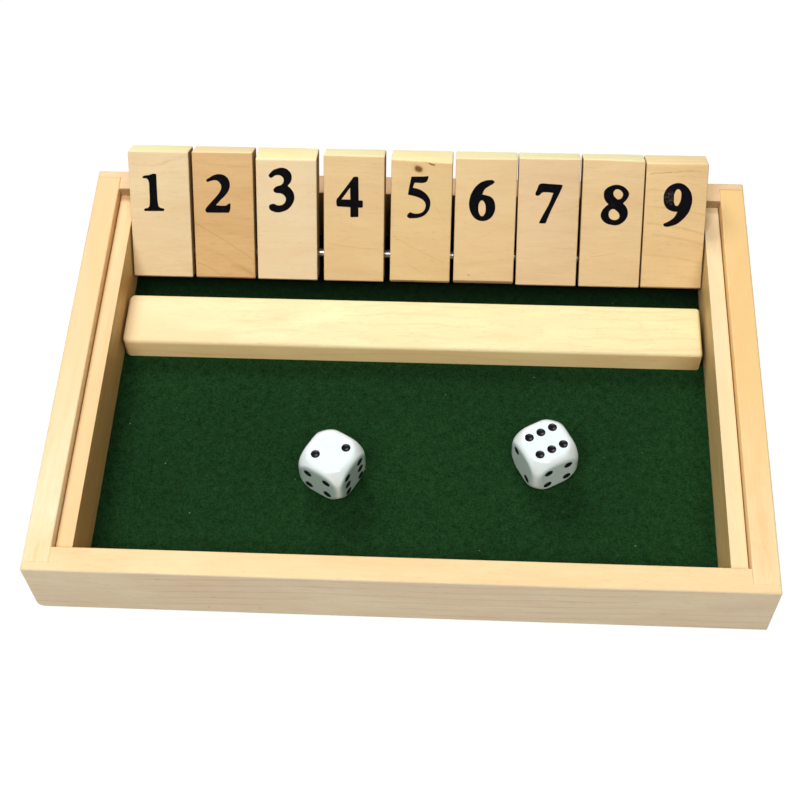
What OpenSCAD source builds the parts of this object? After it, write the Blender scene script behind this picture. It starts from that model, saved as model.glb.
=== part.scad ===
// Shut the box game: a shallow wooden tray with nine numbered flaps on a rod
// along its back, a divider bar, a felt floor and two dice. Millimetres, +Z up,
// origin at the middle of the underside, front wall towards -Y.

/* [Case] */
// Outside width of the tray
box_w = 220; // [208:1:260]
// Outside depth of the tray
box_d = 152.5; // [146:0.5:200]
// Outside height of the tray
box_h = 25; // [24.5:0.1:27]
// Thickness of the four walls
wall_t = 8; // [7:0.1:9]
// Thickness of the lip on the long boards that covers a side wall's end
lap_t = 2.8; // [2:0.1:3.5]

/* [Floor] */
// Thickness of the base board
base_t = 1.8; // [1.5:0.1:2]
// Width of the rebate in the walls that holds the base board
rebate_w = 4; // [3:0.1:5]
// Clearance round the base board in its rebate
base_gap = 0.2; // [0.1:0.05:0.4]
// Thickness of the felt
felt_t = 0.6; // [0.4:0.1:0.8]
// Gap left round the edge of the felt
felt_gap = 0.2; // [0.1:0.05:0.5]

/* [Liners] */
// Thickness of the strips glued inside the side walls
liner_t = 5.4; // [4.8:0.1:6]
// Depth of the strips' tops below the rim
liner_drop = 3.3; // [2:0.1:4.5]
// Depth of the blind holes for the rod
rod_hole_depth = 3.6; // [3:0.1:4]

/* [Divider bar] */
// Front edge of the bar from the middle of the tray
bar_y = 15; // [13:0.1:16]
// Width of the bar from front to back
bar_w = 19.4; // [18:0.1:20]
// Height of the bar above the felt
bar_h = 8.4; // [8:0.1:8.8]
// Gap between the bar and the left liner
bar_gap_left = 0.8; // [0.2:0.1:2]
// Gap between the bar and the right liner
bar_gap_right = 1.6; // [0.2:0.1:3]
// Radius of the bar's top edges
bar_round = 0.8; // [0.4:0.1:1.2]

/* [Hinge rod] */
// Diameter of the rod
rod_d = 3; // [2.5:0.1:3.2]
// Distance of the rod from the inner face of the back wall
rod_back = 15.45; // [14.8:0.05:16]
// Height of the rod above the felt
rod_up = 9.9; // [9.8:0.05:10.2]
// Radial clearance of the rod in its blind holes
rod_seat = 0.03; // [0.01:0.01:0.05]
// Gap between a rod end and the bottom of its hole
rod_end_gap = 0.2; // [0.1:0.05:0.4]

/* [Flaps] */
// Number of flaps
flap_count = 9; // [9:1:9]
// Sum of the gaps beside and between the flaps
flap_gaps = 10.5; // [8:0.1:20]
// Thickness of one flap
flap_t = 9.6; // [9:0.1:9.8]
// Length of a flap above the rod
flap_up = 34.9; // [30:0.1:36]
// Length of a flap below the rod
flap_down = 8.7; // [8:0.1:8.8]
// Radius of the edges at a flap's top end
flap_top_r = 1.8; // [1:0.1:3]
// Radius of the edges at a flap's bottom end
flap_foot_r = 1.2; // [1.1:0.1:2]
// Radial clearance of a flap on the rod
flap_play = 0.08; // [0.04:0.01:0.1]
// Gap between a leaning flap and the edge it rests on
rest_gap = 0.1; // [0.05:0.01:0.2]

/* [Dice] */
// Size of a die
die_size = 16.5; // [14:0.1:17]
// Radius of a die's edges
die_round = 2.6; // [1.5:0.1:3]
// Radius of the ball that trims a die's corners
die_ball = 11; // [10.8:0.1:11.8]
// Diameter of a pip at the face
pip_d = 2.9; // [2:0.1:3]
// Depth of a pip
pip_depth = 0.5; // [0.3:0.1:0.6]
// Offset of the outer pips from the middle of a face
pip_off = 3.4; // [3:0.1:3.6]
// Spacing of the three pips in a row of six
pip_row = 4.1; // [3.7:0.1:4.2]
// Gap between a die and the felt
die_rest = 0.05; // [0.02:0.01:0.1]
// First die, distance right of the middle
die_1_x = -22.8; // [-60:0.1:-15]
// First die, distance behind the middle
die_1_y = -29.6; // [-50:0.1:-8]
// First die, turn about the vertical
die_1_turn = -29.9; // [-180:0.1:180]
// Second die, distance right of the middle
die_2_x = 43.5; // [15:0.1:60]
// Second die, distance behind the middle
die_2_y = -23.8; // [-50:0.1:-8]
// Second die, turn about the vertical
die_2_turn = 29.1; // [-180:0.1:180]

/* [Hidden] */
$fn = 64;
eps = 0.01;

in_x = box_w / 2 - wall_t;
in_y = box_d / 2 - wall_t;
liner_x = in_x - liner_t;
board_x = in_x + rebate_w;
board_y = in_y + rebate_w;
felt_z = base_t + felt_t;
bar_top = felt_z + bar_h;
bar_len = 2 * liner_x - bar_gap_left - bar_gap_right;
rod_y = in_y - rod_back;
rod_z = felt_z + rod_up;
rod_half = liner_x + rod_hole_depth - rod_end_gap;

// a flap leans back until its rear face meets the inner top edge of the back wall
edge_z = box_h - rod_z;
flap_lean = acos((flap_t / 2 + rest_gap) / norm([rod_back, edge_z]))
          - atan2(edge_z, rod_back);

// the flaps fill the width between the liners, less the gaps, and slide a little
// on the rod, so the gaps between them are uneven
flap_w = (2 * liner_x - flap_gaps) / flap_count;
gap_share = [5, 11, 9, 22, 21, 12, 8, 9, 5, 3];
function share(n) = n < 0 ? 0 : gap_share[n] + share(n - 1);
share_all = share(flap_count);
function flap_x(n) = -liner_x + (n - 1) * flap_w + flap_gaps * share(n - 1) / share_all;

maple = [0.90, 0.78, 0.60];
maple_dark = [0.84, 0.69, 0.50];
steel = [0.72, 0.73, 0.74];
green = [0.03, 0.20, 0.10];
white = [0.95, 0.95, 0.93];

// the room the base board takes in the walls
module board_room() {
    translate([-board_x, -board_y, -eps])
        cube([2 * board_x, 2 * board_y, base_t + eps]);
}

// a long board over the full width, its ends cut back to a lip
module long_board() {
    difference() {
        translate([-box_w / 2, -box_d / 2, 0]) cube([box_w, wall_t, box_h]);
        for (s = [-1, 1])
            translate([s > 0 ? in_x : -box_w / 2 - eps, -box_d / 2 + lap_t, -eps])
                cube([wall_t + eps, wall_t, box_h + 2 * eps]);
        board_room();
    }
}

// a side board between the two lips
module side_board() {
    difference() {
        translate([in_x, -box_d / 2 + lap_t, 0])
            cube([wall_t, box_d - 2 * lap_t, box_h]);
        board_room();
    }
}

// a strip inside a side wall, with the blind hole for the rod
module liner() {
    difference() {
        translate([liner_x, -in_y, base_t])
            cube([liner_t, 2 * in_y, box_h - liner_drop - base_t]);
        translate([liner_x - eps, rod_y, rod_z]) rotate([0, 90, 0])
            cylinder(h = rod_hole_depth + eps, d = rod_d + 2 * rod_seat);
    }
}

// a block's section with its four corners rounded
module rounded_section(y0, y1, z0, z1, r_low, r_high) {
    union() {
        translate([y0, z0 + r_low]) square([y1 - y0, z1 - z0 - r_low - r_high]);
        translate([y0 + r_high, z1 - r_high - eps])
            square([y1 - y0 - 2 * r_high, r_high + eps]);
        translate([y0 + r_low, z0]) square([y1 - y0 - 2 * r_low, r_low + eps]);
        for (s = [0, 1]) {
            translate([s > 0 ? y1 - r_high : y0 + r_high, z1 - r_high]) circle(r_high);
            translate([s > 0 ? y1 - r_low : y0 + r_low, z0 + r_low]) circle(r_low);
        }
    }
}

// one flap, leaning back on the rear wall
module flap(n) {
    translate([flap_x(n), rod_y, rod_z]) rotate([-flap_lean, 0, 0])
        difference() {
            rotate([90, 0, 90]) linear_extrude(flap_w)
                rounded_section(-flap_t / 2, flap_t / 2, -flap_down, flap_up,
                                flap_foot_r, flap_top_r);
            translate([-1, 0, 0]) rotate([0, 90, 0])
                cylinder(h = flap_w + 2, d = rod_d + 2 * flap_play);
        }
}

// one side of the square a die is cut from
module die_section() {
    h = die_size / 2;
    translate([0, 0, -h]) linear_extrude(die_size)
        rounded_section(-h, h, -h, h, die_round, die_round);
}

// pips on the face that looks up, as positions on that face
function pips(n) =
    n == 1 ? [[0, 0]] :
    n == 2 ? [[-pip_off, -pip_off], [pip_off, pip_off]] :
    n == 3 ? [[-pip_off, -pip_off], [0, 0], [pip_off, pip_off]] :
    n == 4 ? [for (x = [-pip_off, pip_off], y = [-pip_off, pip_off]) [x, y]] :
    n == 5 ? [[0, 0], for (x = [-pip_off, pip_off], y = [-pip_off, pip_off]) [x, y]] :
             [for (x = [-pip_row, 0, pip_row], y = [-pip_off, pip_off]) [x, y]];

module pip_face(n, turn) {
    ball = (pow(pip_d / 2, 2) + pow(pip_depth, 2)) / (2 * pip_depth);
    rotate(turn) for (p = pips(n))
        translate([p[0], p[1], die_size / 2 - pip_depth + ball]) sphere(ball);
}

// a die: faces listed as top, bottom, front, back, right, left
module die(faces, turns) {
    difference() {
        intersection() {
            die_section();
            rotate([90, 0, 0]) die_section();
            rotate([0, 90, 0]) die_section();
            sphere(die_ball);
        }
        pip_face(faces[0], turns[0]);
        rotate([180, 0, 0]) pip_face(faces[1], turns[1]);
        rotate([90, 0, 0]) pip_face(faces[2], turns[2]);
        rotate([-90, 0, 0]) pip_face(faces[3], turns[3]);
        rotate([0, 90, 0]) pip_face(faces[4], turns[4]);
        rotate([0, -90, 0]) pip_face(faces[5], turns[5]);
    }
}

die_z = felt_z + die_rest + die_size / 2;

module front_wall() color(maple) long_board();
module back_wall() color(maple) mirror([0, 1, 0]) long_board();
module right_wall() color(maple_dark) side_board();
module left_wall() color(maple) mirror([1, 0, 0]) side_board();
module right_liner() color(maple_dark) liner();
module left_liner() color(maple_dark) mirror([1, 0, 0]) liner();

module base_board()
    color(maple_dark)
        translate([-board_x + base_gap, -board_y + base_gap, 0])
            cube([2 * (board_x - base_gap), 2 * (board_y - base_gap), base_t]);

module felt()
    color(green)
        translate([-liner_x + felt_gap, -in_y + felt_gap, base_t])
            cube([2 * (liner_x - felt_gap), 2 * (in_y - felt_gap), felt_t]);

module divider_bar()
    color(maple)
        difference() {
            translate([bar_gap_left - liner_x, 0, 0]) rotate([90, 0, 90])
                linear_extrude(bar_len)
                    rounded_section(bar_y, bar_y + bar_w, felt_z - 2 * bar_round,
                                    bar_top, bar_round, bar_round);
            translate([-box_w / 2, bar_y - 1, felt_z - 3 * bar_round])
                cube([box_w, bar_w + 2, 3 * bar_round]);
        }

module hinge_rod()
    color(steel)
        translate([-rod_half, rod_y, rod_z]) rotate([0, 90, 0])
            cylinder(h = 2 * rod_half, d = rod_d);

module flap_1() color(maple) flap(1);
module flap_2() color(maple_dark) flap(2);
module flap_3() color(maple) flap(3);
module flap_4() color(maple) flap(4);
module flap_5() color(maple) flap(5);
module flap_6() color(maple) flap(6);
module flap_7() color(maple) flap(7);
module flap_8() color(maple) flap(8);
module flap_9() color(maple_dark) flap(9);

module die_1()
    color(white) translate([die_1_x, die_1_y, die_z]) rotate(die_1_turn)
        die([2, 5, 4, 3, 6, 1], [0, 0, 0, 0, 0, 0]);

module die_2()
    color(white) translate([die_2_x, die_2_y, die_z]) rotate(die_2_turn)
        die([6, 1, 4, 3, 5, 2], [0, 0, 0, 0, 0, 0]);

front_wall();
back_wall();
left_wall();
right_wall();
base_board();
felt();
left_liner();
right_liner();
divider_bar();
hinge_rod();
flap_1();
flap_2();
flap_3();
flap_4();
flap_5();
flap_6();
flap_7();
flap_8();
flap_9();
die_1();
die_2();
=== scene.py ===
import math

import bmesh
import bpy
from mathutils import Matrix, Vector


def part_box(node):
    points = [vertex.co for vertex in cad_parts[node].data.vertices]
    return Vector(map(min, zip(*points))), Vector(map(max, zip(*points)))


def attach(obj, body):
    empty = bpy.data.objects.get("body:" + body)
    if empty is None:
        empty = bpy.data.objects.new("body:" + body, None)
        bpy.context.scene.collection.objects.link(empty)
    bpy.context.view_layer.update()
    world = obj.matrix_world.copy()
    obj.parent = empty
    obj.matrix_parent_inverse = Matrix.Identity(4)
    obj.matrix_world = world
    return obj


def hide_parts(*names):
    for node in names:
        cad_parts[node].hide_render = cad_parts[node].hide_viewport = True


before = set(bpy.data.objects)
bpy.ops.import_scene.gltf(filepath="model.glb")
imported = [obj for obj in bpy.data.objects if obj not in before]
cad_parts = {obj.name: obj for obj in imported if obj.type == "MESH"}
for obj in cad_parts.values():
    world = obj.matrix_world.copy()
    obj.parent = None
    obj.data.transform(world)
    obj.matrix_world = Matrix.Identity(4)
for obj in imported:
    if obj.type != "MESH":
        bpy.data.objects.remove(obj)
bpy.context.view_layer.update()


# ---- Long walls -------------------------------------------------------------
# The front and back walls are pale, close-grained boards planed to 8 mm. Their
# ends are cut back to a thin lip that covers the side walls' ends, and the
# joint is glued. The edges are only just broken with sandpaper.

mm = 0.001


def put_in_scene(name, data):
    """A new object that holds this mesh, curve, lamp or camera."""
    thing = bpy.data.objects.new(name, data)
    bpy.context.scene.collection.objects.link(thing)
    return thing


def mesh_from(bm, name):
    """The bmesh as a mesh. The bmesh is freed."""
    mesh = bpy.data.meshes.new(name)
    bm.to_mesh(mesh)
    bm.free()
    return mesh


def finish_piece(name, bm, body, node, materials, smooth=35):
    """Turns a bmesh into a piece of the object that rides on its body."""
    mesh = mesh_from(bm, name)
    for polygon in mesh.polygons:
        polygon.use_smooth = True
    mesh.set_sharp_from_angle(angle=math.radians(smooth))
    for material in materials:
        mesh.materials.append(material)
    piece = put_in_scene(name, mesh)
    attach(piece, body)
    if node:
        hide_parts(node)
    return piece


def round_edges(bm, edges, radius, segments):
    """Rounds edges over, as a router or sandpaper does."""
    bmesh.ops.bevel(bm, geom=edges, offset=radius, segments=segments,
                    affect="EDGES", profile=0.5, material=-1)


def planed_board(name, node, material, at_joint, broken_edge=0.5 * mm,
                 joint_edge=0.16 * mm, other_face=None, other_material=None,
                 rounded_corner=None):
    """The board's solid with its edges broken, less where two boards meet. The
    faces that look the way of other_face can be of another tone, and the edge
    that runs from front to back at rounded_corner can be sanded round."""
    near = 0.1 * mm
    corner_radius = 2.2 * mm
    bm = bmesh.new()
    bm.from_mesh(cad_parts[node].data)
    bmesh.ops.remove_doubles(bm, verts=bm.verts, dist=0.001 * mm)
    bmesh.ops.dissolve_limit(
        bm, angle_limit=math.radians(1), verts=bm.verts, edges=bm.edges)
    if rounded_corner:
        sanded = [edge for edge in bm.edges
                  if all(abs(vert.co.x - rounded_corner[0]) < near
                         and abs(vert.co.z - rounded_corner[1]) < near
                         for vert in edge.verts)]
        round_edges(bm, sanded, corner_radius, 7)
    weight = bm.edges.layers.float.new("bevel_weight_edge")
    for edge in bm.edges:
        if len(edge.link_faces) == 2 and edge.calc_face_angle() > math.radians(40):
            middle = (edge.verts[0].co + edge.verts[1].co) / 2
            edge[weight] = joint_edge / broken_edge if at_joint(middle) else 1.0
    bm.normal_update()
    for face in bm.faces:
        if other_face and face.normal.dot(Vector(other_face)) > 0.9:
            face.material_index = 1
    board = finish_piece(name, bm, "case", node,
                         [material, other_material] if other_face else [material])
    bevel = board.modifiers.new("broken edges", "BEVEL")
    bevel.width = broken_edge
    bevel.segments = 3
    bevel.limit_method = "WEIGHT"
    bevel.use_clamp_overlap = True
    return board


def new_material(name):
    """A new material, with its node tree and its shader."""
    material = bpy.data.materials.new(name)
    material.use_nodes = True
    return material, material.node_tree, material.node_tree.nodes["Principled BSDF"]


def feed(tree, node, inputs):
    """Sets inputs of a node to a value each, or links the output that feeds them."""
    for name, value in inputs.items():
        if isinstance(value, bpy.types.NodeSocket):
            tree.links.new(value, node.inputs[name])
        else:
            node.inputs[name].default_value = value


def add_node(tree, kind, inputs, **settings):
    """A new node of this kind. Its settings come before its inputs, because some
    of them change which inputs there are."""
    node = tree.nodes.new("ShaderNode" + kind)
    for name, value in settings.items():
        setattr(node, name, value)
    feed(tree, node, inputs)
    return node


def own_place(tree):
    """Where a point is on the piece, whichever way the piece is moved."""
    return add_node(tree, "TexCoord", {}).outputs["Object"]


def along_axis(tree, vector, axis):
    return add_node(tree, "SeparateXYZ", {"Vector": vector}).outputs[axis]


def noise(tree, vector, scale=1.0, detail=2.0, roughness=0.5, distortion=0.0):
    return add_node(tree, "TexNoise", {
        "Vector": vector, "Scale": scale, "Detail": detail, "Roughness": roughness,
        "Distortion": distortion}).outputs["Fac"]


def span(tree, value, low, high, to_low=0.0, to_high=1.0):
    """Carries value from one range to another, and no further than its ends."""
    return add_node(tree, "MapRange", {
        "Value": value, "From Min": low, "From Max": high, "To Min": to_low,
        "To Max": to_high}).outputs["Result"]


def maths(tree, operation, first, second=0.0):
    return add_node(tree, "Math", {0: first, 1: second},
                    operation=operation).outputs["Value"]


def total(tree, *values):
    """The sum of all the values."""
    first, *others = values
    for other in others:
        first = maths(tree, "ADD", first, other)
    return first


def mixed(tree, share, first, second):
    """The first colour, which turns to the second as share goes from 0 to 1."""
    return add_node(tree, "Mix", {"Factor": share, "A": first, "B": second},
                    data_type="RGBA").outputs["Result"]


def relief(tree, height, depth, strength, invert=False):
    """The surface's own fine roughness, for the shader's Normal."""
    return add_node(tree, "Bump", {"Height": height, "Distance": depth,
                                   "Strength": strength},
                    invert=invert).outputs["Normal"]


def mark_in_wood(tree, along, up_face, start, end, half_width, strength, bow):
    """A dark line or spot at one place: its ends, half width and bow are in
    millimetres along the grain and up the face. It fades out at its half width."""
    run_length = max(end[0] - start[0], 0.01) * mm
    middle = (start[0] + end[0]) / 2 * mm
    share = span(tree, along, start[0] * mm, start[0] * mm + run_length)
    rise = span(tree, share, 0.0, 1.0, start[1] * mm, end[1] * mm)
    left_over = maths(tree, "SUBTRACT", 1.0, share)
    # a parabola that is as high as the bow half way along
    arch = maths(tree, "MULTIPLY", maths(tree, "MULTIPLY", share, left_over),
                 4.0 * bow * mm)
    off_line = maths(tree, "SUBTRACT", up_face, total(tree, rise, arch))
    off_middle = maths(tree, "ABSOLUTE", maths(tree, "SUBTRACT", along, middle))
    off_end = maths(tree, "MAXIMUM",
                    maths(tree, "SUBTRACT", off_middle, run_length / 2))
    squares = total(tree, maths(tree, "MULTIPLY", off_line, off_line),
                    maths(tree, "POWER", off_end, 2.0))
    return span(tree, maths(tree, "POWER", squares, 0.5), half_width * mm, 0.0,
                0.0, strength)


def grained_wood(name, pale, deep, run, seed, lean=0.0, pith=(0.05, 0.04),
                 slope=(2.0, 1.0), ring_gap=4.5 * mm, ring_depth=0.3,
                 fleck_depth=0.35, rough=0.5, marks=(), far_pale=None,
                 far_reach=(0.0, 0.0)):
    """Birch or beech. Soft cloudy tone, thin rings round a pith outside the
    piece, fine fibres and short dark flecks, all along the grain. far_pale is
    the pale tone at the far end, for a board whose tone changes along
    far_reach."""
    cloud_depth = 0.6
    knot_brown = (0.19, 0.085, 0.004, 1.0)
    material, tree, shader = new_material(name)
    quarter_turn = math.radians(-90) if run == "Y" else 0.0
    turned = add_node(tree, "Mapping", {
        "Vector": own_place(tree), "Rotation": (lean, 0.0, quarter_turn)})
    grain = turned.outputs["Vector"]

    def stretched(along, across, shift=0.0):
        return add_node(tree, "Mapping", {
            "Vector": grain, "Scale": (along, across, across),
            "Location": (seed * 3.7 + shift, seed * 1.9 + shift, seed * 2.3),
        }).outputs["Vector"]

    heart = add_node(tree, "Mapping", {
        "Vector": grain, "Location": (seed * 0.31, *pith),
        "Rotation": (0.0, math.radians(slope[0]), math.radians(slope[1]))})
    # at a scale of 1 the wave's own rings are this far apart
    plain_gap = 2 * math.pi / 20
    rings = add_node(
        tree, "TexWave", {
            "Vector": heart.outputs["Vector"], "Scale": plain_gap / ring_gap,
            "Distortion": 7.0, "Detail": 2.0, "Detail Scale": 0.15},
        wave_type="RINGS", rings_direction="X", wave_profile="SIN")
    patches = span(tree, noise(tree, stretched(25.0, 60.0, 5.0)), 0.42, 0.6)
    ring_lines = maths(
        tree, "MULTIPLY",
        span(tree, rings.outputs["Fac"], 0.78, 1.0, 0.0, ring_depth), patches)
    cloud = span(tree, noise(tree, stretched(22.0, 90.0), 1.0, 3.0, 0.6, 0.8),
                 0.3, 0.7, 0.0, cloud_depth)
    fibre = span(tree, noise(tree, stretched(110.0, 1000.0), 1.0, 5.0, 0.8),
                 0.3, 0.7, -0.17, 0.17)
    fleck = span(tree, noise(tree, stretched(330.0, 1600.0, 9.0), 1.0, 1.0),
                 0.60, 0.78, 0.0, fleck_depth)
    tone = total(tree, ring_lines, cloud, fibre, fleck)
    if marks:
        wobble = span(tree, noise(tree, stretched(260.0, 260.0, 3.0)), 0.0, 1.0,
                      -0.4 * mm, 0.4 * mm)
        up_face = total(tree, along_axis(tree, grain, "Z"), wobble)
        along = along_axis(tree, grain, "X")
        tone = total(tree, tone, *(mark_in_wood(tree, along, up_face, *mark)
                                   for mark in marks))

    near_end = (*pale, 1.0)
    if far_pale:
        near_end = mixed(tree, span(tree, along_axis(tree, grain, "X"), *far_reach),
                         near_end, (*far_pale, 1.0))
    wood = mixed(tree, tone, near_end, (*deep, 1.0))
    feed(tree, shader, {
        "Base Color": mixed(tree, span(tree, tone, 1.0, 2.0), wood, knot_brown),
        "Roughness": span(tree, cloud, 0.0, cloud_depth, rough - 0.06, rough + 0.06),
        "IOR": 1.4,
        "Normal": relief(tree, total(tree, fibre, fleck), 0.06 * mm, 0.35, True)})
    return material


front_low, front_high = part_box("front_wall")
side_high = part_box("left_wall")[1]
lip_line = side_high[1]
inner_x = -side_high[0]
rebate_depth = 9 * mm
touching = 0.2 * mm


def at_corner_joint(point):
    """Where a lip meets a side wall's end."""
    on_lip = abs(abs(point.y) - lip_line) < touching
    on_shoulder = (abs(abs(point.x) - inner_x) < touching
                   and abs(point.y) > lip_line - rebate_depth)
    return on_lip or on_shoulder


# each mark: start, end, half width, strength, bow
front_marks = [
    ((-42, 4.0), (-41, 4.0), 0.30, 1.3, 0), ((-57.3, 3.6), (-56.8, 3.6), 0.35, 1.4, 0),
    ((-25, 10.0), (-24, 9.9), 0.25, 0.9, 0), ((-20, 9.8), (-19.3, 9.8), 0.25, 1.0, 0),
    ((61, 5.0), (62, 5.0), 0.30, 1.0, 0), ((-75, 9.5), (-60, 8.5), 0.20, 0.5, 0.4),
    ((-98, 18.5), (-86, 16.5), 0.30, 0.5, 0.5), ((40, 16.0), (58, 15.5), 0.22, 0.5, -0.4),
]
front_wood = grained_wood("front_wall_wood", (0.92, 0.71, 0.39), (0.89, 0.57, 0.27),
                          "X", 1, pith=(0.09, 0.05), slope=(1.2, 0.6))
front_face_wood = grained_wood("front_face_wood", (0.92, 0.76, 0.49), (0.80, 0.58, 0.37),
                               "X", 21, pith=(0.09, 0.05), slope=(1.2, 0.6),
                               ring_gap=3.8 * mm, ring_depth=0.45, fleck_depth=0.5,
                               rough=0.62, marks=front_marks)
back_wood = grained_wood("back_wall_wood", (0.89, 0.63, 0.36), (0.80, 0.51, 0.26),
                         "X", 2, pith=(-0.09, 0.06), slope=(1.0, 1.4))
# The back wall's face toward the player is painted far darker than its top: painted shade from the
# flaps that lean on the wall and close the space behind them.
back_inner_painted_shade_wood = grained_wood("back_inner_painted_shade_wood", (0.46, 0.31, 0.14), (0.35, 0.22, 0.09),
                               "X", 22, pith=(-0.09, 0.06))
towards_player = (0, -1, 0)
planed_board("front_wall_board", "front_wall", front_wood, at_corner_joint,
             other_face=towards_player, other_material=front_face_wood,
             rounded_corner=(front_low[0], front_low[2]))
# the back wall's face toward the player takes the painted shade
planed_board("back_wall_board", "back_wall", back_wood, at_corner_joint,
             other_face=towards_player, other_material=back_inner_painted_shade_wood)


# ---- Side walls -------------------------------------------------------------
# Two shorter boards of the same stock, glued between the lips of the long
# walls. Their grain runs from front to back.

left_wood = grained_wood("left_wall_wood", (0.95, 0.80, 0.52), (0.90, 0.62, 0.28),
                         "Y", 3, pith=(0.10, 0.05), slope=(0.8, 1.0),
                         far_pale=(0.87, 0.57, 0.28), far_reach=(-0.06, 0.05))
right_wood = grained_wood("right_wall_wood", (0.95, 0.74, 0.42), (0.90, 0.56, 0.24),
                          "Y", 4, pith=(0.10, -0.04), slope=(1.0, 1.4),
                          far_pale=(0.91, 0.62, 0.26), far_reach=(-0.07, 0.0))
planed_board("left_wall_board", "left_wall", left_wood, at_corner_joint)
planed_board("right_wall_board", "right_wall", right_wood, at_corner_joint)


# ---- Base board -------------------------------------------------------------
# A thin plywood board let into a rebate in the walls' lower edges, so that it
# is flush with them underneath.

ply_wood = grained_wood("base_ply", (0.66, 0.50, 0.30), (0.50, 0.34, 0.18), "X", 5,
                        pith=(0.02, 0.3), slope=(0.3, 0.5), ring_gap=6 * mm,
                        fleck_depth=0.5, rough=0.7)
planed_board("base_board_ply", "base_board", ply_wood,
             lambda point: False, broken_edge=0.15 * mm)


# ---- Felt -------------------------------------------------------------------
# One sheet of bottle green wool felt, cut to the space between the liners and
# glued over the base board. Its pile is short and its edges are cut clean.

felt_low, felt_high = [Vector(corner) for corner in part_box("felt")]
felt_size = felt_high - felt_low
felt_bm = bmesh.new()
bmesh.ops.create_grid(felt_bm, x_segments=130, y_segments=92, size=0.5)
bmesh.ops.scale(felt_bm, vec=(felt_size.x, felt_size.y, 1.0), verts=felt_bm.verts)
sheet = bmesh.ops.extrude_face_region(felt_bm, geom=felt_bm.faces[:])
top = [part for part in sheet["geom"] if isinstance(part, bmesh.types.BMVert)]
bmesh.ops.translate(felt_bm, vec=(0, 0, felt_size.z), verts=top)
for vert in top:
    swell = math.sin(vert.co.x * 61) * math.cos(vert.co.y * 47 + 1.3)
    vert.co.z -= (0.05 + 0.04 * swell) * mm
felt_middle = (felt_low + felt_high) / 2
bmesh.ops.translate(felt_bm, vec=(felt_middle.x, felt_middle.y, felt_low.z),
                    verts=felt_bm.verts)
bmesh.ops.recalc_face_normals(felt_bm, faces=felt_bm.faces)


def green_felt(name):
    """Matted wool fibres: fine speckle, slow uneven tone, a soft sheen, a few specks of lint, and a
    painted shadow that darkens it behind the bar, under the flaps."""
    material, tree, shader = new_material(name)
    place = own_place(tree)
    fibres = noise(tree, place, 1900.0, 3.0, 0.8)
    tufts = noise(tree, place, 420.0, 2.0, 0.6)
    pile = total(tree, maths(tree, "MULTIPLY", tufts, 0.35), fibres)
    green = mixed(tree, span(tree, pile, 0.42, 0.90),
                  (0.0004, 0.0050, 0.0007, 1), (0.0150, 0.0620, 0.0170, 1))
    lint = span(tree, noise(tree, place, 900.0, 0.0, 0.6), 0.875, 0.90)
    linted = mixed(tree, lint, green, (0.16, 0.22, 0.15, 1))
    wear = span(tree, noise(tree, place, 16.0, 2.0, 0.6), 0.3, 0.7, 0.9, 1.1)
    # painted shadow of the flaps: the felt's colour darkens from the bar's back toward the flaps
    painted_flap_shadow = span(tree, along_axis(tree, place, "Y"), 33 * mm, 46 * mm, 1.0, 0.22)
    toned = add_node(tree, "VectorMath", {
        0: linted, "Scale": maths(tree, "MULTIPLY", wear, painted_flap_shadow)}, operation="SCALE")
    feed(tree, shader, {
        "Base Color": toned.outputs["Vector"], "Roughness": 1.0,
        "Specular IOR Level": 0.05, "Sheen Weight": 0.03, "Sheen Roughness": 0.6,
        "Sheen Tint": (0.4, 0.8, 0.45, 1),
        "Normal": relief(tree, pile, 0.25 * mm, 0.8)})
    return material


finish_piece("felt_sheet", felt_bm, "case", "felt",
             [green_felt("bottle_green_felt")])


# ---- Liner strips -----------------------------------------------------------
# A strip glued inside each side wall, its top 3.3 mm below the rim. The rod's
# ends sit in blind holes in them.


def liner_strip(side, inward, out_of_wall, wood, inner_wood):
    """The strip's solid, drawn in a little from the wall it is glued to. Its face toward the tray
    takes inner_wood, a painted shade.
    """
    glued_below = 5 * mm
    strip = planed_board(side + "_liner_strip", side + "_liner", wood,
                         lambda point: point.z < glued_below, 0.4 * mm, 0.1 * mm,
                         inward, inner_wood)
    outer = max(abs(vert.co.x) for vert in strip.data.vertices)
    for vert in strip.data.vertices:
        if abs(abs(vert.co.x) - outer) < 0.05 * mm:
            vert.co.x -= math.copysign(out_of_wall, vert.co.x)


left_strip_wood = grained_wood("left_liner_wood", (0.89, 0.60, 0.30),
                               (0.82, 0.54, 0.25), "Y", 6, pith=(0.08, 0.07))
# Each strip's face toward the tray is a darker copy of its wood: painted shade, deeper on the left
# strip, whose face is turned from the stronger left lamp.
left_inner_shade_wood = grained_wood("left_liner_inner_painted_shade_wood", (0.66, 0.42, 0.16),
                               (0.52, 0.31, 0.10), "Y", 23, pith=(0.08, 0.07))
right_strip_wood = grained_wood("right_liner_wood", (0.93, 0.74, 0.46),
                                (0.88, 0.64, 0.33), "Y", 7, pith=(0.08, 0.07))
right_inner_shade_wood = grained_wood("right_liner_inner_painted_shade_wood", (0.68, 0.50, 0.22),
                                (0.54, 0.37, 0.14), "Y", 24, pith=(0.08, 0.07))
liner_strip("left", (1, 0, 0), 0.35 * mm, left_strip_wood, left_inner_shade_wood)
liner_strip("right", (-1, 0, 0), 0.40 * mm, right_strip_wood, right_inner_shade_wood)


# ---- Divider bar ------------------------------------------------------------
# A pale bar glued across the tray on the felt. Its upper edges and its ends
# are rounded over, and the flaps come to rest on it when they are shut.

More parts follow.
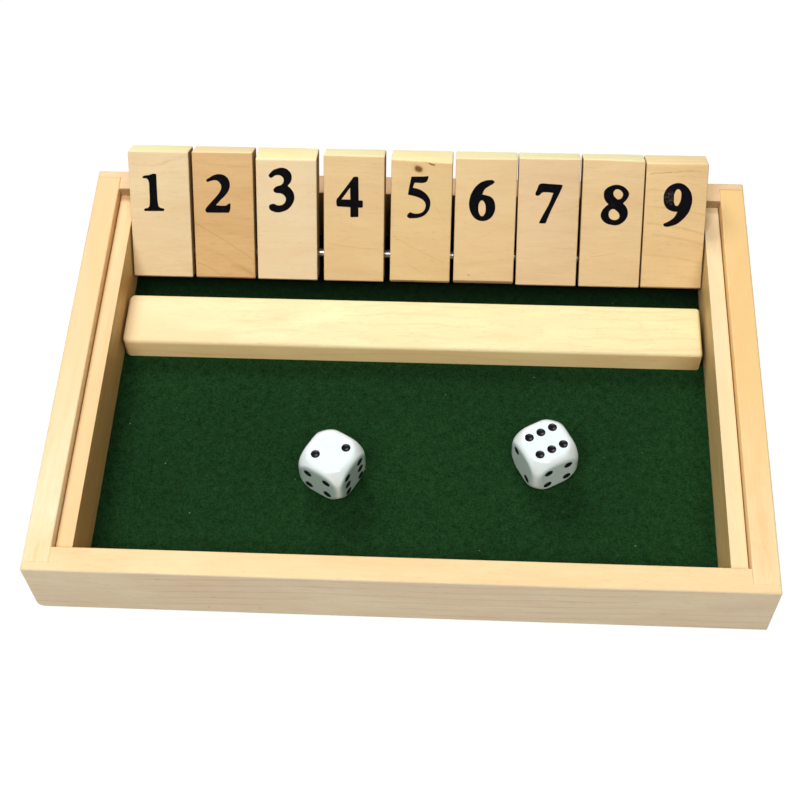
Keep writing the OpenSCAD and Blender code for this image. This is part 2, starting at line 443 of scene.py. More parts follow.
bar_low, bar_high = [Vector(corner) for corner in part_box("divider_bar")]
left_end_radius = 2.0 * mm
right_end_radius = 1.3 * mm
upper_radius = 1.2 * mm
bar_bm = bmesh.new()
bmesh.ops.create_cube(bar_bm, size=1.0)
bmesh.ops.scale(bar_bm, vec=bar_high - bar_low, verts=bar_bm.verts)
bmesh.ops.translate(bar_bm, vec=(bar_low + bar_high) / 2, verts=bar_bm.verts)
for end_sign, end_radius in ((-1, left_end_radius), (1, right_end_radius)):
    standing = [edge for edge in bar_bm.edges
                if abs(edge.verts[0].co.z - edge.verts[1].co.z) > 1 * mm
                and edge.verts[0].co.x * end_sign > 0]
    round_edges(bar_bm, standing, end_radius, 8)
upper = [edge for edge in bar_bm.edges
         if min(vert.co.z for vert in edge.verts) > bar_high.z - 0.1 * mm]
round_edges(bar_bm, upper, upper_radius, 8)
bar_bm.normal_update()
for face in bar_bm.faces:
    if abs(face.normal.x) > 0.9:
        face.material_index = 1
    elif face.normal.y < -0.9:
        face.material_index = 2
bar_wood = grained_wood("divider_bar_wood", (0.92, 0.74, 0.42), (0.90, 0.64, 0.33),
                        "X", 8, pith=(0.03, 0.12), slope=(0.5, 0.8), ring_gap=1.6 * mm,
                        ring_depth=0.32, fleck_depth=0.45,
                        far_pale=(0.94, 0.84, 0.47), far_reach=(-0.095, -0.02))
bar_end_wood = grained_wood("divider_bar_end_wood", (0.45, 0.28, 0.13),
                            (0.26, 0.15, 0.06), "X", 9, ring_gap=1.6 * mm,
                            ring_depth=0.5, rough=0.8)
# The bar's front face: its own grain and a brighter, redder tone, partly painted light for the
# light it catches from the front, which fades to painted shade toward the right end where it meets
# the liner.
bar_front_light_and_shade_wood = grained_wood("divider_bar_front_wood", (1.0, 0.76, 0.37),
                              (0.94, 0.61, 0.26), "X", 25, ring_gap=3.0 * mm,
                              ring_depth=0.4, far_pale=(0.58, 0.41, 0.18),
                              far_reach=(0.082, 0.093))
finish_piece("divider_bar_wood", bar_bm, "case", "divider_bar",
             [bar_wood, bar_end_wood, bar_front_light_and_shade_wood])


# ---- Hinge rod --------------------------------------------------------------
# A plain drawn steel wire, glued into the liners' blind holes. The flaps turn
# on it.

rod_low, rod_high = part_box("hinge_rod")
rod_radius = (rod_high[2] - rod_low[2]) / 2
rod_axis = Vector((0, (rod_low[1] + rod_high[1]) / 2, (rod_low[2] + rod_high[2]) / 2))
rod_bm = bmesh.new()
bmesh.ops.create_cone(rod_bm, cap_ends=True, cap_tris=False, segments=48,
                      radius1=rod_radius, radius2=rod_radius,
                      depth=rod_high[0] - rod_low[0])
rims = [edge for edge in rod_bm.edges
        if any(len(face.verts) > 4 for face in edge.link_faces)]
round_edges(rod_bm, rims, 0.25 * mm, 2)
bmesh.ops.rotate(rod_bm, matrix=Matrix.Rotation(math.pi / 2, 3, "Y"), verts=rod_bm.verts)
bmesh.ops.translate(rod_bm, vec=rod_axis, verts=rod_bm.verts)

drawn_steel, steel_tree, steel_shader = new_material("drawn_steel")
drawn_out_place = add_node(steel_tree, "Mapping", {
    "Vector": own_place(steel_tree), "Scale": (40, 4000, 4000)})
draw_lines = noise(steel_tree, drawn_out_place.outputs["Vector"])
feed(steel_tree, steel_shader, {
    "Metallic": 1.0, "Base Color": (0.62, 0.61, 0.59, 1),
    "Roughness": span(steel_tree, draw_lines, 0.0, 1.0, 0.18, 0.4)})
finish_piece("hinge_wire", rod_bm, "case", "hinge_rod", [drawn_steel])


# ---- Flaps ------------------------------------------------------------------
# Nine small blocks bored across for the rod, leaning back on the rear wall.
# The grain runs across them. The ends were sawn a little out of square and
# rounded by hand, so no two top edges are quite alike.

flap_thick = 9.6 * mm
flap_up = 34.9 * mm
flap_down = 8.7 * mm
bore_radius = 1.58 * mm
lean = math.radians(36.40)
flap_frame = Matrix.Translation(rod_axis) @ Matrix.Rotation(-lean, 4, "X")

# How far the front top edge is sawn short at its left and right, and the
# foot's radius, in millimetres.
flap_cuts = {
    1: (0.3, 0.3, 0.7), 2: (0.1, 0.0, 0.9), 3: (2.2, 2.2, 0.6),
    4: (0.3, 0.5, 0.6), 5: (1.4, 2.3, 1.3), 6: (0.5, 0.5, 1.8),
    7: (0.0, 0.0, 0.6), 8: (0.0, 0.3, 0.6), 9: (1.0, 0.8, 0.9),
}
# how far the top is out to the right, as the flaps hang a little crooked
flap_drift = {1: 0.0, 2: 0.0, 3: 0.1, 4: 0.25, 5: 0.35, 6: 0.1, 7: -0.3, 8: -0.45, 9: -0.6}
flap_tones = {
    1: ((1.00, 0.80, 0.48), (0.90, 0.62, 0.32)),
    2: ((0.88, 0.57, 0.26), (0.72, 0.42, 0.16)),
    3: ((1.00, 0.80, 0.50), (0.92, 0.66, 0.36)),
    4: ((0.95, 0.68, 0.35), (0.83, 0.54, 0.25)),
    5: ((0.95, 0.69, 0.34), (0.82, 0.53, 0.23)),
    6: ((0.96, 0.70, 0.37), (0.85, 0.56, 0.27)),
    7: ((0.95, 0.70, 0.40), (0.83, 0.55, 0.29)),
    8: ((0.96, 0.71, 0.38), (0.84, 0.55, 0.27)),
    9: ((0.98, 0.70, 0.35), (0.80, 0.51, 0.22)),
}
# Figure in the wood that can be told apart on each flap: start and end from the
# flap's left side and the rod, half width, strength, bow.
flap_marks = {
    1: [((0, 30.5), (12, 30.6), 0.8, 0.35, -0.6), ((12, 30.6), (20, 33.5), 0.8, 0.35, 0.2),
        ((9.4, 12.5), (9.8, 12.0), 0.25, 0.6, 0), ((17.2, 6.2), (18.2, 5.9), 0.25, 0.5, 0),
        ((2, 20.0), (18, 19.0), 0.25, 0.25, 0.8)],
    2: [((0.5, 10.4), (20, -2.0), 0.35, 0.6, 0.5), ((0.5, -3.0), (8.5, -7.4), 0.35, 0.5, 0.3),
        ((13, -4.0), (20, -7.5), 1.6, 0.45, 0.5), ((4, 19.6), (19, 18.9), 0.25, 0.25, 0.5),
        ((1, 31.5), (19, 30.2), 0.7, 0.25, -0.5), ((0.5, 3.0), (20, -7.0), 1.2, 0.2, 0.8)],
    3: [((10.8, 11.6), (11.1, 11.5), 0.22, 0.9, 0), ((1, 4.6), (17, 4.0), 0.3, 0.2, 0.4),
        ((5, -3.2), (19, -3.5), 0.3, 0.2, 0.3)],
    4: [((2, 4.3), (18.5, 2.8), 0.35, 0.55, -0.3), ((1, 31.2), (20, 30.5), 0.3, 0.35, 0.4),
        ((3, 29.0), (20, 28.4), 0.3, 0.3, 0.3), ((1, 26.6), (18, 26.8), 0.3, 0.25, -0.4),
        ((11, 15.6), (20, 15.2), 0.3, 0.25, 0)],
    5: [((9.1, 30.5), (9.5, 30.4), 1.55, 1.8, 0), ((13.1, 32.3), (14.5, 32.0), 0.45, 1.9, 0),
        ((4, 33.3), (13.1, 32.4), 0.3, 0.9, 0.5), ((8.6, 31.1), (10.2, 30.1), 2.0, 0.7, 0),
        ((12.6, 28.0), (13.6, 22.8), 0.28, 0.55, 0), ((13.6, 22.8), (15.6, 17.2), 0.28, 0.55, -0.4),
        ((15.6, 17.2), (19.6, 11.4), 0.28, 0.55, -0.3), ((1.2, 7.4), (18, -1.0), 0.3, 0.6, -0.4),
        ((5.5, -1.6), (13, -5.8), 0.3, 0.4, -0.3), ((16, 24), (20.4, 17.5), 0.25, 0.3, -0.3)],
    6: [((3.7, 12.6), (4.1, 12.5), 0.22, 1.0, 0), ((5.0, -5.5), (5.4, -5.7), 0.3, 1.4, 0),
        ((10, 8.0), (20, 13.0), 0.3, 0.3, 0.9), ((5, 5.0), (12, 9.0), 0.3, 0.25, 0.6),
        ((9, -4.0), (20, 1.5), 0.3, 0.25, 0.9), ((3, 29.5), (17, 31.3), 0.3, 0.25, -0.6)],
    7: [((1, 20.4), (9, 21.2), 0.3, 0.25, 0.3), ((9, 16.2), (20, 19.4), 0.3, 0.3, -0.4),
        ((2, 5.0), (19, 4.2), 0.25, 0.3, 0.3), ((3, 10.5), (20, 10.0), 0.25, 0.25, 0.3),
        ((1, 0.8), (20, 0.2), 0.3, 0.3, 0.3), ((1, -4.0), (20, -4.3), 0.3, 0.25, 0.2)],
    8: [((3.5, 2.0), (12, 3.4), 0.3, 0.6, -0.2), ((1, 11.4), (20, 10.7), 0.25, 0.25, 0.3),
        ((2, 29.8), (19, 28.9), 0.25, 0.25, 0.4), ((8, -6.8), (11, -6.6), 0.5, 0.35, 0),
        ((2, 6.0), (16, 7.4), 0.25, 0.3, -0.3)],
    9: [((0.8, 30.4), (7.5, 31.0), 0.35, 0.95, 0.1), ((7.5, 30.9), (17, 31.8), 0.3, 0.5, 0.2),
        ((0.8, 19.6), (19.5, 17.0), 0.5, 0.4, 0.5), ((1, 13.8), (19.5, 10.6), 0.5, 0.5, 0.6),
        ((3, 10.0), (20, 7.0), 0.7, 0.4, 0.5), ((1, 3.0), (20, 0.4), 0.6, 0.35, 0.6),
        ((0.8, 25.2), (6, 24.9), 0.35, 0.45, 0.2), ((13.5, 27.5), (20, 26.0), 0.4, 0.35, 0.2)],
}


def flap_block(number):
    """Profile with rounded corners and a bore, drawn out to the flap's width.
    Its top edge is then sawn short, and the block skewed."""
    short_left, short_right, foot_radius = flap_cuts[number]
    back_radius = 1.2
    front_radius = 0.5
    side_radius = 0.45 * mm
    top_zone = 2 * mm
    low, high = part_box("flap_%d" % number)
    width = high[0] - low[0]
    bm = bmesh.new()
    corners = [bm.verts.new((0, y, z)) for y, z in (
        (-flap_thick / 2, -flap_down), (flap_thick / 2, -flap_down),
        (flap_thick / 2, flap_up), (-flap_thick / 2, flap_up))]
    bm.faces.new(corners)
    for corner, radius in zip(corners, (foot_radius, foot_radius, back_radius,
                                        front_radius)):
        bmesh.ops.bevel(bm, geom=[corner], offset=radius * mm, segments=6,
                        affect="VERTICES", profile=0.5, material=-1)
    outline = bm.faces[:][0]
    bmesh.ops.delete(bm, geom=[outline], context="FACES_ONLY")
    rim = bm.edges[:]
    hole = bmesh.ops.create_circle(
        bm, cap_ends=False, segments=28, radius=bore_radius,
        matrix=Matrix.Rotation(math.pi / 2, 4, "Y"))
    hole_edges = list({edge for vert in hole["verts"] for edge in vert.link_edges})
    bmesh.ops.bridge_loops(bm, edges=rim + hole_edges)
    drawn_out = bmesh.ops.extrude_face_region(bm, geom=bm.faces[:])
    far = [part for part in drawn_out["geom"] if isinstance(part, bmesh.types.BMVert)]
    bmesh.ops.translate(bm, vec=(width, 0, 0), verts=far)
    bmesh.ops.translate(bm, vec=(low[0], 0, 0), verts=bm.verts)
    bmesh.ops.recalc_face_normals(bm, faces=bm.faces)
    bmesh.ops.dissolve_limit(bm, angle_limit=math.radians(0.5), verts=bm.verts,
                             edges=bm.edges)
    sharp = [edge for edge in bm.edges
             if len(edge.link_faces) == 2 and edge.calc_face_angle() > math.radians(60)
             and min(math.hypot(vert.co.y, vert.co.z) for vert in edge.verts)
             > 2 * bore_radius]
    round_edges(bm, sharp, side_radius, 3)
    for vert in bm.verts:
        if vert.co.z > flap_up - top_zone:
            across = (vert.co.x - low[0]) / width
            towards_front = 0.5 - vert.co.y / flap_thick
            short = short_left + (short_right - short_left) * across
            vert.co.z -= short * mm * towards_front ** 2
    for vert in bm.verts:
        vert.co.x += flap_drift[number] * mm * max(vert.co.z / flap_up, 0.0)
    bm.normal_update()
    # faces that look up, the tops, take a wood painted paler than the fronts: painted light from
    # above
    for face in bm.faces:
        if face.normal.z > 0.6:
            face.material_index = 1
        # sides and feet take the dark wood: real end grain on the sides, dark enough to stand also
        # for the shade in the gaps, and painted shade under the feet
        if abs(face.normal.x) > 0.9 or face.normal.z < -0.3:
            face.material_index = 2
    bm.transform(flap_frame)
    return bm


# The flaps' tops: paler, yellower copies of the flaps' wood, painted light for the light that falls
# on them from above.
pale_lit_top = grained_wood("pale_flap_top_painted_light_wood", (1.0, 0.93, 0.52), (0.98, 0.76, 0.36), "X",
                        31, lean=lean, ring_gap=3.0 * mm, ring_depth=0.25, rough=0.6)
tan_lit_top = grained_wood("tan_flap_top_painted_light_wood", (1.0, 0.80, 0.44), (0.94, 0.62, 0.28), "X",
                       33, lean=lean, ring_gap=3.0 * mm, ring_depth=0.25, rough=0.6)
# End grain for the flaps' sides, made dark enough to be painted shade in the narrow gaps as well;
# the feet's undersides take it as painted shade.
end_grain_and_shade = grained_wood("end_grain_and_painted_shade_wood", (0.46, 0.29, 0.13), (0.28, 0.16, 0.07), "X",
                          32, lean=lean, ring_gap=2.0 * mm, ring_depth=0.5, rough=0.8)
tan_topped = (2, 9)
# the rod's height on the flaps' upright axis, which the wood's pattern follows
rod_line = rod_axis.y * math.sin(lean) + rod_axis.z * math.cos(lean)
for number in range(1, 10):
    node = "flap_%d" % number
    pale, deep = flap_tones[number]
    left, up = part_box(node)[0][0] / mm, rod_line / mm
    marks = [((start[0] + left, start[1] + up), (end[0] + left, end[1] + up), *rest)
             for start, end, *rest in flap_marks[number]]
    flap_wood = grained_wood(node + "_wood", pale, deep, "X", 10 + number, lean=lean,
                             pith=(0.02 + 0.01 * number, 0.05),
                             slope=(8.0 - number, 5.0), ring_gap=6.0 * mm,
                             ring_depth=0.15, marks=marks)
    top_wood = tan_lit_top if number in tan_topped else pale_lit_top
    finish_piece(node + "_block", flap_block(number), node, node,
                 [flap_wood, top_wood, end_grain_and_shade])


# ---- Numerals ---------------------------------------------------------------
# Black numerals printed on the flaps' faces in thick ink. Each is an outline in
# millimetres from the flap's left side and from the rod. A third value marks a
# point where the outline turns sharply.

numerals = {
    1: [[(4.6, 25.8), (4.9, 26.2), (6.7, 26.6), (8.8, 27.1), (9.3, 26.9, 1), (9.3, 25.0),
         (9.3, 21.6), (9.4, 17.2), (9.6, 16.1), (10.2, 15.5), (11.2, 15.3), (11.5, 14.9),
         (11.1, 14.4, 1), (4.8, 14.3, 1), (4.6, 14.8), (5.0, 15.2), (5.9, 15.4), (6.4, 16.0),
         (6.6, 17.2), (6.7, 21.6), (6.6, 24.6), (6.3, 25.2), (5.6, 25.5), (4.9, 25.5)]],
    2: [[(4.6, 25.1), (5.1, 24.7), (5.7, 24.9), (6.7, 25.2), (7.9, 25.3), (8.9, 24.7),
         (9.6, 23.2), (9.2, 21.7), (8.3, 20.4), (6.6, 18.5), (4.9, 16.6), (4.1, 15.5),
         (4.0, 14.8), (4.5, 14.2, 1), (11.8, 14.3, 1), (12.2, 14.9), (12.5, 17.2),
         (12.4, 17.6, 1), (11.9, 17.4), (11.0, 16.8), (10.2, 16.7), (7.6, 16.8, 1), (9.0, 18.4),
         (10.8, 20.2), (12.0, 21.9), (12.5, 23.8), (12.2, 25.5), (11.3, 26.7), (9.9, 27.3),
         (8.7, 27.4), (7.2, 27.0), (5.8, 26.2)]],
    3: [[(4.4, 27.3), (4.7, 26.7), (5.2, 26.5), (5.8, 26.8), (6.5, 27.3), (7.4, 27.5),
         (8.4, 27.3), (9.1, 26.7), (9.4, 25.8), (9.1, 24.8), (8.3, 24.1), (7.3, 23.8),
         (6.3, 23.2), (5.9, 22.4), (6.2, 21.7), (7.0, 21.4), (8.3, 21.3), (9.4, 20.7),
         (10.0, 19.5), (9.8, 18.5), (9.0, 17.6), (7.8, 17.2), (6.9, 17.3), (6.0, 17.7),
         (5.1, 17.6), (4.4, 17.1), (4.3, 16.4), (4.7, 15.6), (5.9, 15.0), (7.4, 14.8),
         (9.2, 15.2), (10.8, 16.1), (12.2, 17.8), (12.9, 20.1), (12.6, 21.6), (11.8, 22.9),
         (10.7, 24.0, 1), (11.7, 25.2), (12.1, 26.6), (11.9, 28.0), (11.1, 29.1), (10.0, 29.8),
         (8.6, 30.0), (7.3, 29.7), (5.9, 29.1), (4.9, 28.1)]],
    4: [[(10.3, 27.4), (11.5, 27.5, 1), (11.8, 27.2, 1), (11.9, 19.5, 1), (13.0, 19.5, 1),
         (13.3, 19.2, 1), (13.3, 17.4, 1), (13.1, 17.1, 1), (11.8, 17.0, 1), (11.8, 14.0, 1),
         (11.6, 13.8, 1), (9.3, 13.7, 1), (9.1, 13.9, 1), (9.1, 17.1, 1), (4.8, 17.3, 1),
         (4.5, 17.6, 1), (4.5, 19.6), (4.9, 20.2), (9.2, 26.0), (9.8, 26.9)],
        [(9.0, 23.7, 1), (9.1, 19.7, 1), (6.1, 19.7, 1), (7.6, 21.7)]],
    5: [[(7.0, 27.9, 1), (11.8, 28.1), (12.3, 28.2), (12.6, 28.1), (12.5, 27.3), (12.1, 26.4),
         (11.5, 26.0), (8.1, 25.9, 1), (7.5, 24.2, 1), (9.6, 23.7), (11.5, 22.6), (12.8, 21.1),
         (13.4, 19.6), (13.3, 17.9), (12.6, 16.1), (11.3, 14.8), (9.8, 14.1), (7.7, 13.8),
         (6.2, 13.9), (5.7, 14.4), (6.0, 15.2), (6.7, 15.8), (7.7, 15.5), (9.0, 15.4),
         (10.3, 15.7), (11.3, 16.5), (11.8, 17.8), (11.7, 19.0), (10.8, 20.2), (9.2, 21.0),
         (7.4, 21.5), (5.9, 21.8, 1), (6.3, 24.4)]],
    6: [[(11.4, 27.3), (12.5, 27.2), (13.0, 26.7), (12.7, 26.2), (11.2, 25.2), (9.9, 24.2),
         (9.1, 22.4, 1), (10.6, 22.1), (12.0, 21.6), (13.0, 20.4), (13.5, 18.4), (13.2, 16.3),
         (12.0, 14.4), (10.4, 13.5), (8.7, 13.4), (7.0, 14.1), (5.6, 15.8), (4.8, 18.3),
         (4.9, 20.8), (5.8, 23.4), (7.3, 25.5), (9.4, 26.9)],
        [(9.0, 20.4), (9.9, 19.6), (10.3, 17.8), (10.1, 16.0), (9.2, 15.0), (8.3, 15.8),
         (7.9, 17.8), (8.2, 19.6)]],
    7: [[(6.6, 26.1), (7.0, 26.4), (10.3, 26.4), (14.1, 26.2, 1), (14.4, 25.9, 1), (13.8, 24.2),
         (12.2, 20.5), (10.7, 16.9), (9.4, 13.3, 1), (9.1, 13.0, 1), (7.3, 13.0, 1),
         (7.1, 13.3, 1), (8.3, 15.9), (10.2, 19.8), (11.4, 23.4, 1), (8.7, 23.6), (7.7, 23.4),
         (7.1, 22.8), (6.4, 22.4), (5.7, 22.5), (5.5, 23.1), (6.0, 24.4)]],
    8: [[(10.8, 26.6), (12.7, 26.2), (14.3, 25.1), (15.1, 23.6), (14.6, 22.0), (13.3, 20.4, 1),
         (14.4, 19.2), (15.1, 17.3), (14.8, 15.5), (13.7, 14.0), (11.9, 13.0), (10.0, 13.0),
         (8.0, 13.6), (6.6, 14.9), (6.2, 16.5), (6.8, 18.2), (8.5, 20.0, 1), (7.4, 21.2),
         (6.8, 23.1), (7.1, 24.7), (8.7, 26.0)],
        [(11.2, 25.1), (12.4, 24.6), (13.1, 23.5), (12.8, 22.3), (11.7, 21.7), (10.7, 22.3),
         (9.9, 23.6), (10.3, 24.7)],
        [(10.1, 18.4), (11.2, 17.9), (12.4, 16.2), (12.0, 15.1), (10.8, 14.7), (9.5, 15.1),
         (8.8, 16.6), (9.2, 17.9)]],
    9: [[(10.2, 27.6), (11.7, 27.3), (13.3, 26.2), (14.6, 24.3), (15.1, 21.8), (14.8, 19.4),
         (13.9, 17.2), (12.3, 15.2), (10.7, 13.8), (9.0, 13.1), (7.2, 12.8), (6.4, 13.1),
         (6.2, 13.7), (6.9, 14.1), (8.3, 14.9), (9.6, 16.1), (10.5, 17.9, 1), (8.8, 18.1),
         (7.4, 18.7), (6.2, 20.1), (5.7, 22.1), (5.9, 24.4), (7.0, 26.2), (8.5, 27.2)],
        [(10.2, 25.5), (11.1, 24.9), (11.4, 23.3), (11.1, 21.1), (10.1, 19.9), (9.4, 20.6),
         (9.1, 22.5), (9.3, 24.5)]],
}


def printed_ink(name, rubbed_place=None):
    """Matt black ink. Round rubbed_place the wood shows through it in specks."""
    material, tree, shader = new_material(name)
    place = own_place(tree)
    if rubbed_place:
        off_rubbed = add_node(tree, "VectorMath", {0: place, 1: rubbed_place},
                              operation="DISTANCE").outputs["Value"]
        rubbed = span(tree, off_rubbed, 1.5 * mm, 4.0 * mm, 0.18, 0.0)
        specks = total(tree, noise(tree, place, 2600.0), rubbed)
        black = mixed(tree, span(tree, specks, 0.68, 0.84, 0.0, 0.40),
                      (0.004, 0.003, 0.005, 1), (0.24, 0.20, 0.17, 1))
    else:
        black = mixed(tree, span(tree, noise(tree, place, 900.0, 3.0), 0.55, 0.85),
                      (0.0025, 0.002, 0.004, 1), (0.012, 0.010, 0.010, 1))
    feed(tree, shader, {"Base Color": black, "Roughness": 0.55,
                        "Specular IOR Level": 0.06})
    return material


def applied(thing):
    """A new bmesh of the object with its modifiers. The object is removed."""
    bpy.context.view_layer.update()
    mesh = bpy.data.meshes.new_from_object(
        thing.evaluated_get(bpy.context.evaluated_depsgraph_get()))
    bpy.data.objects.remove(thing)
    bm = bmesh.new()
    bm.from_mesh(mesh)
    bpy.data.meshes.remove(mesh)
    return bm


ink_thickness = 0.04 * mm
ink = printed_ink("black_ink")
# the left of the nine's bowl is rubbed
rubbed_on_nine = Vector((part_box("flap_9")[0][0] + 7.3 * mm, -flap_thick / 2, 22.8 * mm))
worn_ink = printed_ink("worn_black_ink", flap_frame @ rubbed_on_nine)
for number, outlines in numerals.items():
    drawing = bpy.data.curves.new("numeral_%d_outline" % number, "CURVE")
    drawing.dimensions = "2D"
    drawing.fill_mode = "BOTH"
    drawing.resolution_u = 5
    drawing.extrude = ink_thickness
    for outline in outlines:
        spline = drawing.splines.new("BEZIER")
        spline.use_cyclic_u = True
        spline.bezier_points.add(len(outline) - 1)
        for bend, point in zip(spline.bezier_points, outline):
            bend.co = (point[0] * mm, point[1] * mm, 0)
            kind = "VECTOR" if len(point) == 3 else "AUTO"
            bend.handle_left_type = bend.handle_right_type = kind
    numeral_bm = applied(put_in_scene("numeral_sketch", drawing))
    bmesh.ops.remove_doubles(numeral_bm, verts=numeral_bm.verts, dist=0.0001 * mm)
    node = "flap_%d" % number
    on_face = Matrix.Translation(
        (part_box(node)[0][0], -flap_thick / 2 - ink_thickness * 0.4, 0))
    numeral_bm.transform(flap_frame @ on_face @ Matrix.Rotation(math.pi / 2, 4, "X"))
    bmesh.ops.recalc_face_normals(numeral_bm, faces=numeral_bm.faces)
    finish_piece("numeral_%d" % number, numeral_bm, node, None,
                 [worn_ink if number == 9 else ink])


# ---- Dice -------------------------------------------------------------------
# Two moulded dice of glossy white plastic with well-rounded edges. Their pips
# are shallow round hollows filled with black paint.

die_size = 16.5 * mm
die_round = 2.6 * mm
die_ball = 11.0 * mm
pip_radius = 1.42 * mm
pip_depth = 0.45 * mm
pip_column = 3.4 * mm
pip_row = 4.1 * mm


def white_plastic(name, middle, turn, painted_side_shade):
    """Glossy white, faintly scuffed. The flats of the four sides turn to the painted_side_shade
    tone, a painted shade with the felt's green painted in as reflected light, while their edges
    stay bright."""
    material, tree, shader = new_material(name)
    place = own_place(tree)
    scuffs = noise(tree, place, 260.0, 4.0)
    white = mixed(tree, span(tree, scuffs, 0.3, 0.6),
                  (0.82, 0.91, 0.90, 1), (0.87, 0.945, 0.94, 1))
    square = add_node(tree, "Mapping", {"Vector": place, "Location": middle,
                                        "Rotation": (0.0, 0.0, turn)},
                      vector_type="TEXTURE")
    spread = add_node(tree, "VectorMath", {0: square.outputs["Vector"]},
                      operation="ABSOLUTE").outputs["Vector"]
    outermost = maths(tree, "MAXIMUM", along_axis(tree, spread, "X"),
                      along_axis(tree, spread, "Y"))
    # how far a point is into a side flat, where the painted shade is laid
    side_shade_share = add_node(tree, "MapRange", {
        "Value": outermost, "From Min": die_size / 2 - 0.75 * mm,
        "From Max": die_size / 2}, interpolation_type="SMOOTHSTEP").outputs["Result"]
    feed(tree, shader, {
        "Base Color": mixed(tree, side_shade_share, white, (*painted_side_shade, 1)),
        "Roughness": span(tree, scuffs, 0.0, 1.0, 0.10, 0.22),
        "Coat Weight": 0.3, "Coat Roughness": 0.05})
    return material


pip_black, pip_tree, pip_shader = new_material("pip_black")
paint_skin = noise(pip_tree, own_place(pip_tree), 900.0)
feed(pip_tree, pip_shader, {
    "Base Color": mixed(pip_tree, paint_skin, (0.004, 0.004, 0.006, 1),
                        (0.012, 0.012, 0.016, 1)),
    "Roughness": 0.28, "Specular IOR Level": 0.25})


def pip_places(count):
    """Pip centres on a face, from its middle."""
    if count == 6:
        return [(x, y) for x in (-pip_row, 0, pip_row) for y in (-pip_column, pip_column)]
    middle = [(0.0, 0.0)] * (count % 2)
    corners = [(-1, -1), (-1, 1), (1, -1), (1, 1)] if count > 3 else [(-1, -1), (1, 1)]
    return middle + [(x * pip_column, y * pip_column) for x, y in corners if count > 1]


def die_reach(ray):
    """Distance from the die's middle to its skin: a cube with rounded edges,
    blended into the ball that trims its corners."""
    near, far = 0.0, die_size
    core = die_size / 2 - die_round
    blend = 0.5 * mm
    for _ in range(24):
        reach = (near + far) / 2
        over = [abs(value) * reach - core for value in ray]
        outside = math.sqrt(sum(max(value, 0.0) ** 2 for value in over))
        cube = outside + min(max(over), 0.0) - die_round
        ball = reach - die_ball
        share = max(blend - abs(cube - ball), 0.0) / blend
        skin = max(cube, ball) + share * share * blend / 4
        near, far = (reach, far) if skin < 0 else (near, reach)
    return near


def moulded_die(name, node, faces, turn, painted_side_shade):
    """faces lists the pips on top, under, front, back, right and left."""
    low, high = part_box(node)
    middle = (Vector(low) + Vector(high)) / 2
    die_white = white_plastic(name + "_white", middle, turn, painted_side_shade)
    body = bmesh.new()
    bmesh.ops.create_cube(body, size=1.0)
    bmesh.ops.subdivide_edges(body, edges=body.edges[:], cuts=47, use_grid_fill=True)
    for vert in body.verts:
        ray = Vector([math.tan(value * math.pi / 2) for value in vert.co]).normalized()
        vert.co = ray * die_reach(ray)
    cutter = bmesh.new()
    ball_radius = (pip_radius ** 2 + pip_depth ** 2) / (2 * pip_depth)
    turns = [Matrix()] + [Matrix.Rotation(math.radians(angle), 4, axis)
                          for angle, axis in ((180, "X"), (90, "X"), (-90, "X"),
                                              (90, "Y"), (-90, "Y"))]
    for count, face in zip(faces, turns):
        for x, y in pip_places(count):
            bmesh.ops.create_uvsphere(
                cutter, u_segments=36, v_segments=36, radius=ball_radius,
                matrix=face @ Matrix.Translation(
                    (x, y, die_size / 2 - pip_depth + ball_radius)))
    blank = put_in_scene("die_blank", mesh_from(body, "die_blank"))
    blank.data.materials.append(die_white)
    pips = put_in_scene("pip_cutter", mesh_from(cutter, "pip_cutter"))
    pips.data.materials.append(pip_black)
    cut = blank.modifiers.new("pips", "BOOLEAN")
    cut.operation = "DIFFERENCE"
    cut.solver = "EXACT"
    cut.object = pips
    cut.material_mode = "TRANSFER"
    bm = applied(blank)
    bpy.data.objects.remove(pips)
    bm.transform(Matrix.Translation(middle) @ Matrix.Rotation(turn, 4, "Z"))
    finish_piece(name, bm, node, node, [die_white, pip_black], smooth=28)


# the last value of each is the painted shade on the die's side flats, darker and greener on the
# first die
moulded_die("first_die", "die_1", (2, 5, 4, 3, 6, 1), math.radians(-29.9),
            (0.46, 0.60, 0.57))
moulded_die("second_die", "die_2", (6, 1, 4, 3, 5, 2), math.radians(29.1),
            (0.70, 0.84, 0.83))


# ---- Table, light and camera ------------------------------------------------
# A plain pale table, an even sky and three soft lamps, two above the front and
# one above the back. These are not part of the game.

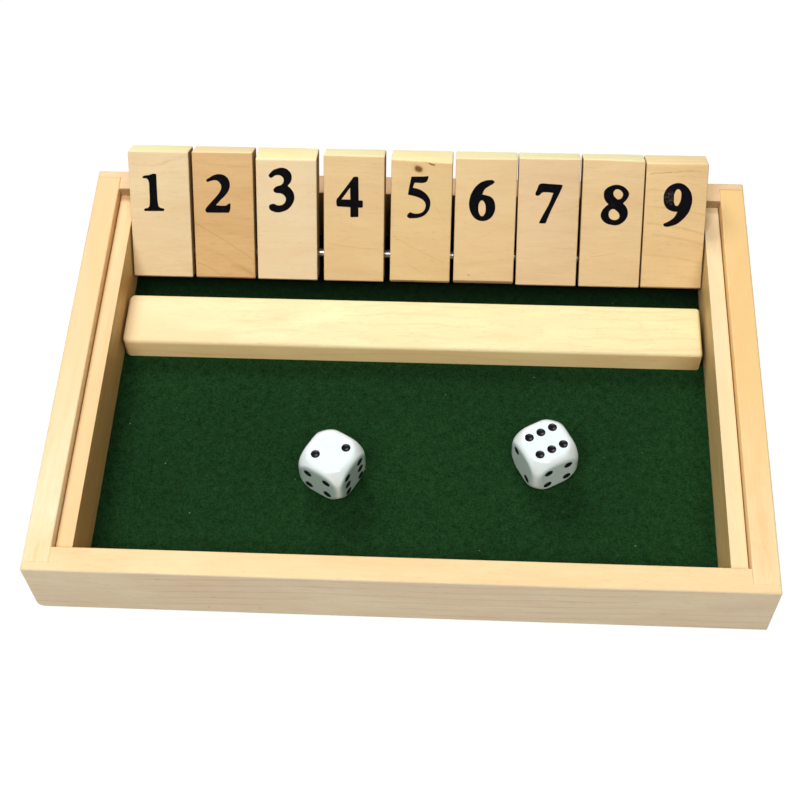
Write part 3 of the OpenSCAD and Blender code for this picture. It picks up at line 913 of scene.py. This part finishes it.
# The camera sees the table almost as pure white, with the game's soft shadow in
# it, while the light that it throws back on the game is that of a pale table.
table_bm = bmesh.new()
bmesh.ops.create_grid(table_bm, x_segments=1, y_segments=1, size=3.0)
bmesh.ops.translate(table_bm, vec=(0, 0, -0.1 * mm), verts=table_bm.verts)
table = put_in_scene("table_top", mesh_from(table_bm, "table_top"))
table_white, table_tree, table_shader = new_material("table_white")
feed(table_tree, table_shader, {"Base Color": (0.46, 0.46, 0.50, 1), "Roughness": 0.9,
                                "Specular IOR Level": 0.0})
glow = add_node(table_tree, "Emission", {"Color": (1, 1, 1, 1), "Strength": 1.07})
table_ray = add_node(table_tree, "LightPath", {}).outputs
seen = maths(table_tree, "MAXIMUM", table_ray["Is Camera Ray"], table_ray["Is Glossy Ray"])
lit = add_node(table_tree, "MixShader", {
    0: maths(table_tree, "MULTIPLY", seen, 0.92), 1: table_shader.outputs["BSDF"],
    2: glow.outputs["Emission"]})
feed(table_tree, table_tree.nodes["Material Output"], {"Surface": lit.outputs["Shader"]})
table.data.materials.append(table_white)

# the camera sees a white sky, which lights the game only a little
world = bpy.data.worlds.new("studio")
bpy.context.scene.world = world
world.use_nodes = True
sky_tree = world.node_tree
sky_ray = add_node(sky_tree, "LightPath", {}).outputs
sky_seen = maths(sky_tree, "MAXIMUM", sky_ray["Is Camera Ray"],
                 sky_ray["Is Transmission Ray"])
feed(sky_tree, sky_tree.nodes["Background"], {
    "Color": (1, 1, 1, 1), "Strength": span(sky_tree, sky_seen, 0.0, 1.0, 0.10, 1.0)})


def softbox(name, aim_from, width, depth, energy):
    """A soft white lamp that looks at the middle of the tray."""
    distance = 1.3
    lamp = bpy.data.lights.new(name, "AREA")
    lamp.shape = "RECTANGLE"
    lamp.size = width
    lamp.size_y = depth
    lamp.energy = energy
    box = put_in_scene(name, lamp)
    away = Vector(aim_from).normalized()
    box.location = away * distance
    box.rotation_euler = away.to_track_quat("Z", "Y").to_euler()


softbox("left_softbox", (-0.27, -0.46, 0.84), 0.45, 0.45, 8.1)
softbox("right_softbox", (0.26, -0.46, 0.84), 0.45, 0.45, 5.4)
softbox("back_softbox", (-0.28, 0.66, 0.75), 0.6, 0.4, 8.8)

picture_width = 800.0
focal_length = 1518.3  # in pixels of the picture
camera_place = (0.018656, -0.266532, 0.421213)
look = Vector((-0.04389, 0.53667, -0.84265)).normalized()
right = Vector((0.99867, 0.04636, -0.02249)).normalized()
right = (right - look * right.dot(look)).normalized()
up = right.cross(look)
camera_data = bpy.data.cameras.new("camera")
camera_data.sensor_width = 36.0
camera_data.lens = focal_length * camera_data.sensor_width / picture_width
camera_data.clip_start = 0.01
camera = put_in_scene("camera", camera_data)
camera.matrix_world = (Matrix.Translation(camera_place)
                       @ Matrix((right, up, -look)).transposed().to_4x4())
bpy.context.scene.camera = camera
bpy.context.scene.view_settings.view_transform = "Standard"
